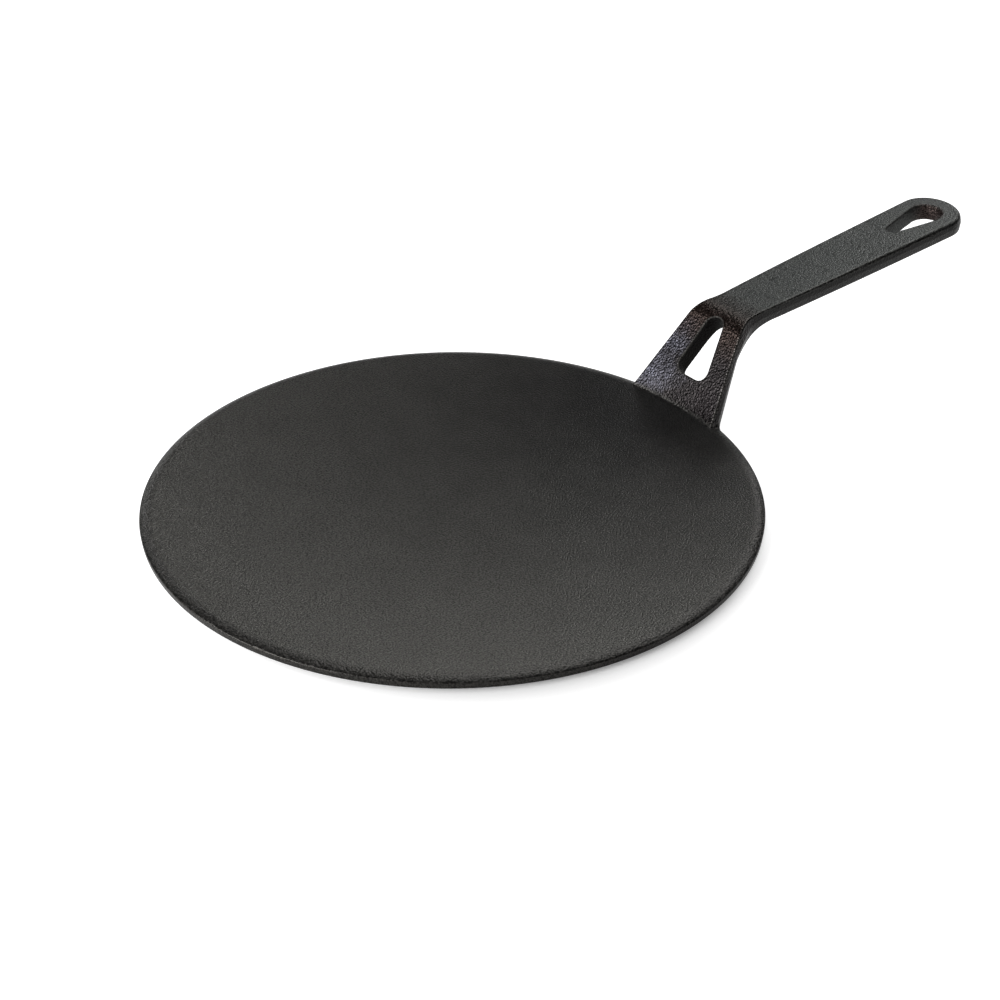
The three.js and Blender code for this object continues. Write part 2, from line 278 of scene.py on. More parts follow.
def iron_noise(tree, place):
    """Two noises for stains and two for grain. Most of their values lie from low to high."""
    return SimpleNamespace(
        cloud=noise_value(tree, place, CLOUD_SCALE, CLOUD_DETAIL, STAIN_ROUGHNESS),
        patch=noise_value(tree, place, PATCH_SCALE, PATCH_DETAIL, STAIN_ROUGHNESS),
        sand=noise_value(tree, place, SAND_SCALE, GRAIN_DETAIL, GRAIN_ROUGHNESS),
        pebble=noise_value(tree, place, PEBBLE_SCALE, GRAIN_DETAIL, GRAIN_ROUGHNESS))


print("stains about", round(1000 / CLOUD_SCALE), "and", round(1000 / PATCH_SCALE), "mm wide")
print("sand about", round(1000 / SAND_SCALE, 2), "mm wide")

# %% Places on the iron
# Centre of the painted neck shade: the plate is painted darker towards it, for the neck's shadow
# and reflection.
NECK_SHADE_CENTRE = (0.128, 0.010, 0.0045)


def iron_places(tree):
    """Object coordinates, the distance from the plate's axis and from the centre of the painted
    neck shade.
    """
    place = add_node(tree, "ShaderNodeTexCoord").outputs["Object"]
    parts = add_node(tree, "ShaderNodeSeparateXYZ")
    tree.links.new(place, parts.inputs[0])
    along, across, height = parts.outputs
    squares = plus(tree, times(tree, along, along), times(tree, across, across))
    gap = add_node(tree, "ShaderNodeVectorMath", operation="DISTANCE")
    tree.links.new(place, gap.inputs[0])
    gap.inputs[1].default_value = NECK_SHADE_CENTRE
    return SimpleNamespace(place=place, along=along, across=across, height=height,
                           reach=math_node(tree, "SQRT", squares), from_shade_centre=gap.outputs["Value"])


# %% Zones of the iron
ROLL_FROM = 0.1270
ROLL_FULL = 0.1300
RIM_FROM = 0.1324
RIM_FULL = 0.1329
RIM_SHARE = 0.2
# The plate's wall is darkened towards black here: painted shade.
WALL_FROM = 0.1314
WALL_FULL = 0.1322
WALL_SHARE = 0.35
# The painted neck shade is full up to the first reach and gone at the second, with this bend.
SHADE_START_REACH = 0.027
SHADE_END_REACH = 0.236
SHADE_CURVE = 1.1

HANDLE_FROM = 0.0048
HANDLE_FULL = 0.0062
# Near the plate the handle is darkened towards black: painted shade where neck and plate meet.
FOOT_FROM = 0.0045
FOOT_FULL = 0.0085
FOOT_SHARE = 0.8
FOLD_FROM = 0.1415
FOLD_FULL = 0.151
GRIP_FROM = 0.154
GRIP_FULL = 0.171
TIP_FROM = 0.283
TIP_FULL = 0.290


def iron_zones(tree, at):
    """Zones by distance, height and place along the handle, and three that its mesh keeps."""
    # Painted shade fade: 0 in the neck's painted shade, 1 far from it.
    from_shade_centre = ramp(tree, at.from_shade_centre, SHADE_START_REACH, SHADE_END_REACH, 0.0, 1.0)
    return SimpleNamespace(
        out_of_shade=math_node(tree, "POWER", from_shade_centre, SHADE_CURVE),
        roll=ramp(tree, at.reach, ROLL_FROM, ROLL_FULL, 0.0, 1.0),
        rim=ramp(tree, at.reach, RIM_FROM, RIM_FULL, 0.0, RIM_SHARE),
        wall=ramp(tree, at.reach, WALL_FROM, WALL_FULL, 0.0, WALL_SHARE),
        handle=ramp(tree, at.height, HANDLE_FROM, HANDLE_FULL, 0.0, 1.0),
        foot=ramp(tree, at.height, FOOT_FROM, FOOT_FULL, FOOT_SHARE, 0.0),
        fold=ramp(tree, at.along, FOLD_FROM, FOLD_FULL, 0.0, 1.0),
        grip=ramp(tree, at.along, GRIP_FROM, GRIP_FULL, 0.0, 1.0),
        tip=ramp(tree, at.along, TIP_FROM, TIP_FULL, 0.0, 1.0),
        edge=kept_value(tree, "edge"),
        hole=kept_value(tree, "hole"),
        side=kept_value(tree, "side"))


def by_zone(tree, zone, plate, neck, grip):
    """A number that has its own value on the plate, the neck and the grip."""
    handle = ramp(tree, zone.grip, 0.0, 1.0, neck, grip)
    return ramp(tree, zone.handle, 0.0, 1.0, plate, handle)


print("painted neck shade fades over", round(1000 * (SHADE_END_REACH - SHADE_START_REACH)), "mm of the plate")

# %% [markdown]
# The plate is painted darkest at the neck's foot and paler away from it: painted shade, which
# stands for the neck's shadow on the plate and its dark reflection in it. Two tones and a curve
# give that fade, so its start, end and bend are plain values, which a hand-set colour ramp would
# hide. The rolled rim has a tone of its own, painted light and shade set for how light falls on
# its curve, its corner is rubbed brown in patches, and the wall below is darkened towards black,
# painted shade.

# %% Tones of the plate
# Painted shade: the plate goes from the first tone at the neck's foot to the second far from it.
PLATE_SHADED = (0.0094, 0.0089, 0.0082)
PLATE_LIT = (0.1080, 0.1056, 0.0975)
# Painted light and shade: the rolled rim's own tone, set for how the lamps light its curve.
ROLL_PAINTED_LIGHT_AND_SHADE = (0.0600, 0.0580, 0.0545)
PLATE_RIM = (0.0700, 0.0580, 0.0460)
# Painted shade: black that darkens the plate's wall and the handle's foot, sides and window walls.
PAINTED_SHADE_BLACK = (0.0040, 0.0032, 0.0028)
CLOUD_DRIFT = 0.06
RUB_LOW = 0.35
RUB_HIGH = 0.65


def plate_tone(tree, zone, noise):
    drift = ramp(tree, noise.cloud, NOISE_LOW, NOISE_HIGH, -CLOUD_DRIFT, CLOUD_DRIFT)
    # The fade from dark to light is painted shade from the neck.
    tone = mix_colour(tree, plus(tree, zone.out_of_shade, drift), PLATE_SHADED, PLATE_LIT)
    # Painted light and shade on the roll: its own tone evens out the shading of the curve.
    tone = mix_colour(tree, zone.roll, tone, ROLL_PAINTED_LIGHT_AND_SHADE)
    rubbed = times(tree, zone.rim, ramp(tree, noise.patch, RUB_LOW, RUB_HIGH, 0.0, 1.0))
    tone = mix_colour(tree, rubbed, tone, PLATE_RIM)
    # Painted shade on the plate's wall.
    return mix_colour(tree, zone.wall, tone, PAINTED_SHADE_BLACK)


print("away from the neck the plate is", round(PLATE_LIT[1] / PLATE_SHADED[1]), "times as light as in its painted shade")

# %% [markdown]
# Nothing rubs the neck, so its oil has dried brown, with a lighter blue towards its left edge,
# painted highlight where the light falls, and a redder brown over the fold. Hands have rubbed
# the grip to an even grey. The foot, the sides and the window's walls are darkened towards black,
# painted shade, and the end of the hang hole is brown. The cast edges are lightened, worn bare
# and partly painted highlight. Each of these lies over the one before it.

# %% Tones of the handle
# The lighter blue is painted highlight, towards the neck's left edge, where the light falls.
NECK_BLUE_HIGHLIGHT = (0.0470, 0.0470, 0.0580)
NECK_BROWN = (0.0148, 0.0128, 0.0131)
FOLD_BROWN = (0.0260, 0.0175, 0.0145)
GRIP_DARK = (0.0640, 0.0670, 0.0640)
GRIP_LIGHT = (0.0840, 0.0880, 0.0840)
EYE_BROWN = (0.0420, 0.0300, 0.0270)
# Edges are lightened: partly worn bare, partly painted highlight along the cast edges.
BARE_EDGE_AND_GLINT = (0.1000, 0.0960, 0.0900)
LIT_EDGE_LEAN = 14.0
BLUE_FROM = 0.50
BLUE_FULL = 0.90
# Share of painted shade on the handle's sides.
SIDE_SHARE = 0.85
EDGE_WEAR_AND_GLINT_SHARE = 0.45


def neck_tone(tree, at, zone, noise):
    # Painted highlight: lighter and bluer towards the neck's left edge.
    lean = times(tree, at.across, LIT_EDGE_LEAN)
    lit_blue = ramp(tree, plus(tree, noise.patch, lean), BLUE_FROM, BLUE_FULL, 0.0, 1.0)
    tone = mix_colour(tree, lit_blue, NECK_BROWN, NECK_BLUE_HIGHLIGHT)
    return mix_colour(tree, zone.fold, tone, FOLD_BROWN)


def handle_tone(tree, at, zone, noise):
    grip = mix_colour(tree, noise.cloud, GRIP_DARK, GRIP_LIGHT)
    tone = mix_colour(tree, zone.grip, neck_tone(tree, at, zone, noise), grip)
    # Painted shade: the foot, the sides and the window's walls are darkened towards black.
    tone = mix_colour(tree, zone.foot, tone, PAINTED_SHADE_BLACK)
    tone = mix_colour(tree, times(tree, zone.side, SIDE_SHARE), tone, PAINTED_SHADE_BLACK)
    eye = mix_colour(tree, zone.tip, grip, EYE_BROWN)
    tone = mix_colour(tree, zone.hole, tone, mix_colour(tree, zone.grip, PAINTED_SHADE_BLACK, eye))
    # Lightened edges: wear and painted glints.
    return mix_colour(tree, times(tree, zone.edge, EDGE_WEAR_AND_GLINT_SHARE), tone, BARE_EDGE_AND_GLINT)


print("the grip is", round(GRIP_LIGHT[1] / NECK_BROWN[1], 1), "times as light as the brown neck")

# %% [markdown]
# Every grain of the skin has its own tone, gloss and height, and one noise sets all three. The
# grains differ most in the painted shade near the neck's foot, and on the neck the brightest of
# them are painted glints. Real displacement would need millions of faces for grains under a
# millimetre, so the shader's bump tilts the light instead.

# %% Speckle, gloss and grain
# The grain's swing is larger in the painted neck shade than away from it.
SHADED_SPECKLE = 0.85
LIT_SPECKLE = 0.55
GRIP_SPECKLE = 0.5
# On the neck the brightest grains are painted glints, up to this many times the tone.
NECK_DARKEST = 0.55
NECK_PAINTED_GLINT = 2.3

PLATE_ROUGHNESS = 0.34
NECK_ROUGHNESS = 0.22
GRIP_ROUGHNESS = 0.34
HOLE_ROUGHNESS = 0.60
EYE_ROUGHNESS = 0.24
GLOSS_SWING = 0.05

PLATE_GRAIN = 0.00026
NECK_GRAIN = 0.00033
GRIP_GRAIN = 0.00024
EYE_GRAIN = 0.00050


def speckled(tree, zone, noise, tone):
    """The tone, darker and lighter from grain to grain, with painted glints on the neck."""
    swing = ramp(tree, zone.out_of_shade, 0.0, 1.0, SHADED_SPECKLE, LIT_SPECKLE)
    darkest = by_zone(tree, zone, minus(tree, 1.0, swing), NECK_DARKEST, 1 - GRIP_SPECKLE)
    # On the neck the upper end is painted glint.
    brightest = by_zone(tree, zone, plus(tree, 1.0, swing), NECK_PAINTED_GLINT, 1 + GRIP_SPECKLE)
    scaled = add_node(tree, "ShaderNodeVectorMath", operation="SCALE")
    tree.links.new(tone, scaled.inputs[0])
    tree.links.new(ramp(tree, noise.sand, NOISE_LOW, NOISE_HIGH, darkest, brightest),
                   scaled.inputs["Scale"])
    return scaled.outputs[0]


def iron_gloss(tree, zone, noise):
    gloss = by_zone(tree, zone, PLATE_ROUGHNESS, NECK_ROUGHNESS, GRIP_ROUGHNESS)
    hole_gloss = ramp(tree, zone.tip, 0.0, 1.0, HOLE_ROUGHNESS, EYE_ROUGHNESS)
    gloss = ramp(tree, zone.hole, 0.0, 1.0, gloss, hole_gloss)
    swing = ramp(tree, noise.sand, NOISE_LOW, NOISE_HIGH, -GLOSS_SWING, GLOSS_SWING)
    return plus(tree, gloss, swing)


def iron_grain(tree, zone, noise):
    """Bump in metres: sand on the plate and the grip, coarser pebbles on the neck."""
    depth = by_zone(tree, zone, PLATE_GRAIN, NECK_GRAIN, GRIP_GRAIN)
    depth = ramp(tree, times(tree, zone.hole, zone.tip), 0.0, 1.0, depth, EYE_GRAIN)
    grain = by_zone(tree, zone, noise.sand, noise.pebble, noise.sand)
    bump = add_node(tree, "ShaderNodeBump")
    bump.inputs["Distance"].default_value = 1.0
    tree.links.new(times(tree, grain, depth), bump.inputs["Height"])
    return bump.outputs[0]


print("grains of plate and neck", round(PLATE_GRAIN / MM, 2), round(NECK_GRAIN / MM, 2), "mm high")

# %% Iron material
METAL_SHARE = 0.8
OIL_IOR = 1.5


def iron_material():
    material = bpy.data.materials.new("seasoned_iron")
    material.use_nodes = True
    tree = material.node_tree
    shader = tree.nodes["Principled BSDF"]
    at = iron_places(tree)
    noise = iron_noise(tree, at.place)
    zone = iron_zones(tree, at)
    plate = plate_tone(tree, zone, noise)
    handle = handle_tone(tree, at, zone, noise)
    tone = speckled(tree, zone, noise, mix_colour(tree, zone.handle, plate, handle))
    tree.links.new(tone, shader.inputs["Base Color"])
    tree.links.new(iron_gloss(tree, zone, noise), shader.inputs["Roughness"])
    tree.links.new(iron_grain(tree, zone, noise), shader.inputs["Normal"])
    shader.inputs["Metallic"].default_value = METAL_SHARE
    shader.inputs["IOR"].default_value = OIL_IOR
    return material


iron = iron_material()
print("iron nodes", len(iron.node_tree.nodes))

# %% [markdown]
# The tree is a modifier on an empty blank. A Bevel modifier after it rounds the one sharp
# corner, between the roll and the wall. The evaluated blank becomes a plain mesh, and a new
# object takes it, so that the finished piece carries no modifier. Every piece then goes
# through the same last steps: faces turned outwards, metres, and its place on the body.

# %% Finish of a piece
CM3_PER_MM3 = 0.001


def baked(source):
    """The evaluated mesh of an object, which is then removed."""
    view = bpy.context.evaluated_depsgraph_get()
    mesh = bpy.data.meshes.new_from_object(source.evaluated_get(view))
    bpy.data.objects.remove(source)
    return mesh


def keep_piece(name, work, mesh, node):
    """Put a piece at the origin, on the one body, in place of its CAD node."""
    bmesh.ops.recalc_face_normals(work, faces=work.faces)
    open_edges = sum(not edge.is_manifold for edge in work.edges)
    volume = work.calc_volume(signed=True) * CM3_PER_MM3
    work.to_mesh(mesh)
    work.free()
    mesh.transform(Matrix.Scale(MM, 4))
    piece = bpy.data.objects.new(name, mesh)
    bpy.context.scene.collection.objects.link(piece)
    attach(piece, "root")
    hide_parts(node)
    print(name, "faces", len(mesh.polygons), "open edges", open_edges, "cm3", round(volume, 1))


# %% Turn the plate
CORNER_ANGLE = math.radians(40)
CORNER_SEGMENTS = 3


def make_plate():
    blank = bpy.data.objects.new("plate_blank", bpy.data.meshes.new("plate_blank"))
    bpy.context.scene.collection.objects.link(blank)
    lathe = blank.modifiers.new("lathe", "NODES")
    lathe.node_group = plate_lathe
    lathe[material_input] = iron
    corner = blank.modifiers.new("corner", "BEVEL")
    corner.limit_method = "ANGLE"
    corner.angle_limit = CORNER_ANGLE
    corner.width = RIM_ROUND
    corner.segments = CORNER_SEGMENTS
    bpy.context.view_layer.update()
    mesh = baked(blank)
    mesh.shade_smooth()
    work = bmesh.new()
    work.from_mesh(mesh)
    keep_piece("griddle_plate_casting", work, mesh, "griddle_plate")


make_plate()

# %% [markdown]
# Neck and grip are one bent bar with soft cast edges, a parting ridge half way down its sides,
# a window through the neck and a hang hole near the tip. Booleans and bevels could build it,
# but bevels break where the foot's fillet runs over the round rim. So the bar is a signed
# distance field: a formula that is negative inside the iron. Rounded unions and cuts of such
# formulas leave the fillets that a pattern maker would leave. The bar's side view comes first:
# two straight lines and a bend between them, for the upper face and for the lower one.

# %% Sizes of the side view
FOOT_WIDTH = 51.9
NECK_RUN = 28.7
NECK_RISE = 38.0
NECK_THICKNESS = 7.5
GRIP_SLOPE = math.radians(3.61)
GRIP_THICKNESS = 7.4
BEND_TOP_RADIUS = 13.7
BEND_UNDER_RADIUS = 26.5

HALF_FOOT = FOOT_WIDTH / 2
NECK_SLOPE = math.atan2(NECK_RISE, NECK_RUN)
NECK_LENGTH = math.hypot(NECK_RUN, NECK_RISE)
BEND_ANGLE = NECK_SLOPE - GRIP_SLOPE
FOOT_X = math.sqrt(FLAT_RADIUS ** 2 - HALF_FOOT ** 2)
FOOT_BOW = FLAT_RADIUS - FOOT_X
NECK_ALONG = np.array([math.cos(NECK_SLOPE), math.sin(NECK_SLOPE)])
NECK_DOWN = np.array([math.sin(NECK_SLOPE), -math.cos(NECK_SLOPE)])
GRIP_ALONG = np.array([math.cos(GRIP_SLOPE), math.sin(GRIP_SLOPE)])
GRIP_DOWN = np.array([math.sin(GRIP_SLOPE), -math.cos(GRIP_SLOPE)])
FOLD_TOP = np.array([FOOT_X + NECK_RUN, PLATE_THICKNESS + NECK_RISE])
print("neck slope", round(math.degrees(NECK_SLOPE), 1), "degrees, fold at", FOLD_TOP.round(1))


# %% Side view of the bar
def cross(a, b):
    return a[0] * b[1] - a[1] * b[0]


def under_fold():
    """Corner in which the lower faces of neck and grip would meet without a bend."""
    neck_point = FOLD_TOP + NECK_DOWN * NECK_THICKNESS
    grip_point = FOLD_TOP + GRIP_DOWN * GRIP_THICKNESS
    along = cross(grip_point - neck_point, GRIP_ALONG) / cross(NECK_ALONG, GRIP_ALONG)
    return neck_point + NECK_ALONG * along


def bent_line(x, z, corner, radius):
    """Depth below a line that bends once, and the place along it from the start of its bend."""
    tangent = radius * math.tan(BEND_ANGLE / 2)
    dx, dz = x - corner[0], z - corner[1]
    neck_place = dx * NECK_ALONG[0] + dz * NECK_ALONG[1] + tangent
    neck_depth = dx * NECK_DOWN[0] + dz * NECK_DOWN[1]
    grip_place = dx * GRIP_ALONG[0] + dz * GRIP_ALONG[1] - tangent
    grip_depth = dx * GRIP_DOWN[0] + dz * GRIP_DOWN[1]
    turned = np.clip(np.arctan2(neck_place, radius - neck_depth), 0, BEND_ANGLE)
    arc_depth = radius - np.hypot(neck_place, radius - neck_depth)
    on_neck = neck_place < 0
    on_grip = (grip_place > 0) & ~on_neck
    depth = np.select([on_neck, on_grip], [neck_depth, grip_depth], arc_depth)
    past_bend = grip_place + radius * BEND_ANGLE
    place = np.select([on_neck, on_grip], [neck_place, past_bend], radius * turned)
    return depth, place


FOLD_UNDER = under_fold()
TOP_TANGENT = BEND_TOP_RADIUS * math.tan(BEND_ANGLE / 2)
UNDER_TANGENT = BEND_UNDER_RADIUS * math.tan(BEND_ANGLE / 2)
print("lower faces would meet at", FOLD_UNDER.round(1))

# %% [markdown]
# Every cross-section of the bar has a station: its distance along the upper face. The upper and
# the lower face bend on different radii, so each has its own scale, and both count the same
# stations. The plan width follows the station: a straight taper, a waist and a swelling grip.
# A list of widths would do as well, but these few sizes keep the sides free of bumps.

# %% Stations of the bar
PARTING_BULGE = 0.4
TIP_LENGTH = 13.4
MARGIN = 60.0

BEND_START = NECK_LENGTH - TOP_TANGENT
BEND_END = BEND_START + BEND_TOP_RADIUS * BEND_ANGLE
BEND_END_X = FOLD_TOP[0] + GRIP_ALONG[0] * TOP_TANGENT
TIP_OVERHANG = PARTING_BULGE * GRIP_ALONG[0] + GRIP_THICKNESS / 2 * GRIP_ALONG[1]
TIP_END = BEND_END + (TIP_X - TIP_OVERHANG - BEND_END_X) / GRIP_ALONG[0]
TIP_START = TIP_END - TIP_LENGTH

fold_shift = FOLD_UNDER - FOLD_TOP
under_neck = NECK_LENGTH + fold_shift @ NECK_ALONG - UNDER_TANGENT
under_arc = BEND_UNDER_RADIUS * BEND_ANGLE
under_grip = TOP_TANGENT + TIP_START - BEND_END - fold_shift @ GRIP_ALONG - UNDER_TANGENT
UNDER_PLACES = np.cumsum([-under_neck - MARGIN, MARGIN, under_neck, under_arc, under_grip, MARGIN])
UNDER_STATIONS = [-MARGIN, 0, BEND_START, BEND_END, TIP_START, TIP_START + MARGIN]
print("stations: bend", round(BEND_START, 1), "to", round(BEND_END, 1), "tip", round(TIP_END, 1))

# %% Plan view of the bar
NECK_TAPER = 0.456
WAIST_LENGTH = 22.8
GRIP_ROOT_WIDTH = 23.6
GRIP_END_WIDTH = 31.9
GRIP_BELLY = 1.3


def between(first, second, share):
    return first + (second - first) * share


def smooth_step(value, low, high):
    t = np.clip((value - low) / (high - low), 0, 1)
    return t * t * (3 - 2 * t)


def half_width(s):
    t = (s - NECK_LENGTH) / (TIP_END - NECK_LENGTH)
    grip = (between(GRIP_ROOT_WIDTH, GRIP_END_WIDTH, t) + 4 * GRIP_BELLY * t * (1 - t)) / 2
    neck = HALF_FOOT - NECK_TAPER * s / 2
    share = smooth_step(s, BEND_START, BEND_START + WAIST_LENGTH)
    return neck * (1 - share) + grip * share


print("half width at the foot and the fold", HALF_FOOT, round(float(half_width(NECK_LENGTH)), 1))

# %% [markdown]
# The window keeps some of the heat from the grip, and the tawa hangs by the eye near the tip.
# The walls of both holes lean, as the pattern has to leave the sand, so their outline in the
# lower face differs from the upper one. A drawn curve could be cut through the bar, but it
# would have no lean. Each outline is a hull round a few circles, as a circle's distance is a
# short formula. The window's circles are given as place along, place across and radius, the
# eye's as radii alone, the large one first.

# %% Holes
WINDOW_UPPER = ((20.6, -4.95, 4.7), (40.0, -0.3, 5.1), (20.6, 3.15, 4.7))
WINDOW_LOWER = ((17.2, -4.6, 4.1), (38.8, -0.3, 3.9), (17.2, 3.8, 4.1))
EYE_UPPER = (8.0, 3.2)
EYE_LOWER = (7.2, 2.9)
EYE_SPREAD = 21.4
EYE_FROM_TIP = 16.0


def stretch_distance(px, py, start, end):
    """Distance to a straight stretch between two points."""
    ax, ay = px - start[0], py - start[1]
    bx, by = end[0] - start[0], end[1] - start[1]
    t = np.clip((ax * bx + ay * by) / (bx * bx + by * by), 0, 1)
    return np.hypot(ax - bx * t, ay - by * t)


def window_field(up, y, share):
    """Rounded triangle with its narrow end up, negative inside."""
    circles = [[between(a, b, share) for a, b in zip(upper, lower)]
               for upper, lower in zip(WINDOW_UPPER, WINDOW_LOWER)]
    nearest = np.full(up.shape, np.inf)
    inside = np.ones(up.shape, bool)
    for start, end in zip(circles, circles[1:] + circles[:1]):
        nearest = np.minimum(nearest, stretch_distance(up, y, start, end))
        inside &= (end[0] - start[0]) * (y - start[1]) > (end[1] - start[1]) * (up - start[0])
    low, high = circles[0], circles[1]
    climb = np.clip((up - low[0]) / (high[0] - low[0]), 0, 1)
    return np.where(inside, -nearest, nearest) - between(low[2], high[2], climb)


def teardrop_field(along, y, share):
    """Hull of a large circle at the origin and a small one towards the plate, negative inside."""
    large_radius = between(EYE_UPPER[0], EYE_LOWER[0], share)
    small_radius = between(EYE_UPPER[1], EYE_LOWER[1], share)
    lean = (large_radius - small_radius) / EYE_SPREAD
    straight = np.sqrt(1 - lean * lean)
    across, back = np.abs(y), -along
    place = straight * back - lean * across
    large = np.hypot(across, back) - large_radius
    small = np.hypot(across, back - EYE_SPREAD) - small_radius
    side = straight * across + lean * back - large_radius
    return np.select([place < 0, place > straight * EYE_SPREAD], [large, small], side)


print("hang hole", round(EYE_UPPER[0] + EYE_SPREAD + EYE_UPPER[1], 1), "long")

# %% [markdown]
# The bar's upper and lower face and its plan are cut together with rounded edges, then the
# holes are cut out, and a fillet joins the bar to the plate. The fillet is tight in front and
# wide behind. Under it the bar ends in a thin seat just below the plate's skin, where nobody
# sees it, so that no gap shows between the two pieces.


# %% Rounded cuts and joins
def cut_both(a, b, radius):
    """Inside of both fields, with the edge between them rounded."""
    corner = np.hypot(np.maximum(radius + a, 0), np.maximum(radius + b, 0))
    return np.minimum(-radius, np.maximum(a, b)) + corner


def join_either(a, b, radius):
    """Inside of either field, with a fillet in the corner between them."""
    corner = np.hypot(np.maximum(radius - a, 0), np.maximum(radius - b, 0))
    return np.maximum(radius, np.minimum(a, b)) - corner


# %% Field of the bar
BOW_FADE = 22.0
NECK_DRAFT = 1.06
GRIP_DRAFT = 0.25
DRAFT_FADE = 10.0
TIP_FULLNESS = 1.98
NECK_EDGE = 0.6
TIP_EDGE = 1.65
LOWER_EDGE = 0.75
HOLE_EDGE = 0.35
FOOT_LOW = 0.9


def bar_plan(s, y, share):
    """Distance past the bar's sides and its rounded tip, at a share of the way down."""
    full_draft = between(NECK_DRAFT, GRIP_DRAFT, smooth_step(s, BEND_START, BEND_END + DRAFT_FADE))
    lower_half = np.clip(2 * share - 1, 0, 1)
    draft = PARTING_BULGE * np.minimum(2 * share, 1) - (PARTING_BULGE + full_draft) * lower_half
    width = half_width(np.minimum(s, TIP_START)) + draft
    past = np.maximum(s - TIP_START, 0) * width / (TIP_LENGTH + draft)
    spread = (past ** TIP_FULLNESS + np.abs(y) ** TIP_FULLNESS) ** (1 / TIP_FULLNESS)
    return np.where(past > 0, spread, np.abs(y)) - width


def bar_field(x, y, z):
    """The bent bar, how deep in its thickness a point lies from 0 to 1, and its gap to a hole."""
    _, place = bent_line(x, z, FOLD_TOP, BEND_TOP_RADIUS)
    fade = np.clip(1 - (BEND_START + place) / BOW_FADE, 0, 1)
    x = x - FOOT_BOW * fade * fade * (1 - np.minimum(1, (y / HALF_FOOT) ** 2))
    depth, place = bent_line(x, z, FOLD_TOP, BEND_TOP_RADIUS)
    lower_depth, lower_place = bent_line(x, z, FOLD_UNDER, BEND_UNDER_RADIUS)
    share = np.clip(depth / np.maximum(depth - lower_depth, 1e-3), 0, 1)
    upper_s = BEND_START + place
    s = upper_s + (np.interp(lower_place, UNDER_PLACES, UNDER_STATIONS) - upper_s) * share
    upper_round = between(NECK_EDGE, TIP_EDGE, smooth_step(s, BEND_END, TIP_START))
    bar = cut_both(cut_both(-depth, bar_plan(s, y, share), upper_round), lower_depth, LOWER_EDGE)

    up = (x - FOOT_X) * NECK_ALONG[0] + (z - PLATE_THICKNESS) * NECK_ALONG[1]
    window = np.where(s < BEND_END, window_field(up, y, share), MARGIN)
    eye_s = TIP_END - EYE_FROM_TIP
    eye = np.where(s > BEND_END, teardrop_field(upper_s - eye_s, y, share), MARGIN)
    hole = np.minimum(window, eye)
    bar = cut_both(bar, -hole, HOLE_EDGE)
    return cut_both(bar, FOOT_LOW - z, LOWER_EDGE), share, hole


# %% Field of the whole handle
FRONT_FILLET = 0.2
REAR_FILLET = 3.5
FILLET_FROM = 0.1
FILLET_FULL = 0.7
UNDER_CLEAR = 0.4
SUNK = 0.01
SEAT_DEPTH = 1.2


def plate_field(x, y, z):
    reach = np.hypot(x, y)
    inward = np.clip((PLATE_RADIUS - reach) / ROLL_WIDTH, 0, 1)
    top = z - RIM_HEIGHT - ROLL_DROP * (1 - (1 - inward) ** 2)
    wall = reach - PLATE_RADIUS + WALL_DRAFT * np.clip(1 - z / RIM_HEIGHT, 0, 1)
    return cut_both(cut_both(top, wall, RIM_ROUND), -z, UNDER_ROUND)


def handle_field(x, y, z):
    """The bar with its fillet to the plate, and a thin hidden seat just under the plate's skin."""
    bar, share, _ = bar_field(x, y, z)
    plate = plate_field(x, y, z)
    fillet = between(FRONT_FILLET, REAR_FILLET, smooth_step(share, FILLET_FROM, FILLET_FULL))
    joined = join_either(bar, plate + SUNK, fillet)
    near_bar = bar - fillet - SEAT_DEPTH
    seated = np.maximum(np.maximum(joined, near_bar), -plate - SEAT_DEPTH)
    return np.maximum(seated, UNDER_CLEAR - z)


middle = FOLD_TOP + GRIP_ALONG * (SEAM_X - FOLD_TOP[0]) + GRIP_DOWN * GRIP_THICKNESS / 2
depth = -handle_field(middle[:1], np.zeros(1), middle[1:])[0]
print("iron over the middle of the seam", round(float(depth), 1), "mm")

# %% [markdown]
# A field becomes a mesh by surface nets: each grid cell that the surface crosses gets a point,
# each grid edge that it crosses gets a four-sided face, and the points then slide along the
# field's slope until they lie on the surface itself. Volume nodes can mesh a field too, but
# their points stay where the grid puts them, which blurs small edges.

# %% Sample a field
SLOPE_REACH = 0.02
SLIDES = 4
SLIDE_SHARE = 0.4


def field_on_grid(field, low, counts, step):
    values = np.empty(counts, np.float32)
    ys = low[1] + step * np.arange(counts[1])
    zs = low[2] + step * np.arange(counts[2])
    for i in range(counts[0]):
        x = np.full((counts[1], counts[2]), low[0] + step * i)
        values[i] = field(x, *np.meshgrid(ys, zs, indexing="ij"))
    return values


def slope_of(field, points):
    slope = np.empty_like(points)
    for k in range(3):
        shift = np.zeros(3)
        shift[k] = SLOPE_REACH
        ahead, behind = points + shift, points - shift
        slope[:, k] = (field(*ahead.T) - field(*behind.T)) / (2 * SLOPE_REACH)
    return slope


def slide_to_surface(field, points, step):
    for _ in range(SLIDES):
        slope = slope_of(field, points)
        steepness = np.maximum((slope ** 2).sum(1), 1e-6)[:, None]
        push = field(*points.T)[:, None] * slope / steepness
        length = np.linalg.norm(push, axis=1)[:, None]
        points = points - push * np.minimum(1, SLIDE_SHARE * step / np.maximum(length, 1e-9))
    return points


# %% Surface nets
CORNERS = [(i, j, k) for i in (0, 1) for j in (0, 1) for k in (0, 1)]
CELL_EDGES = [(a, b) for a in CORNERS for b in CORNERS
              if sum(b) - sum(a) == 1 and all(q >= p for p, q in zip(a, b))]


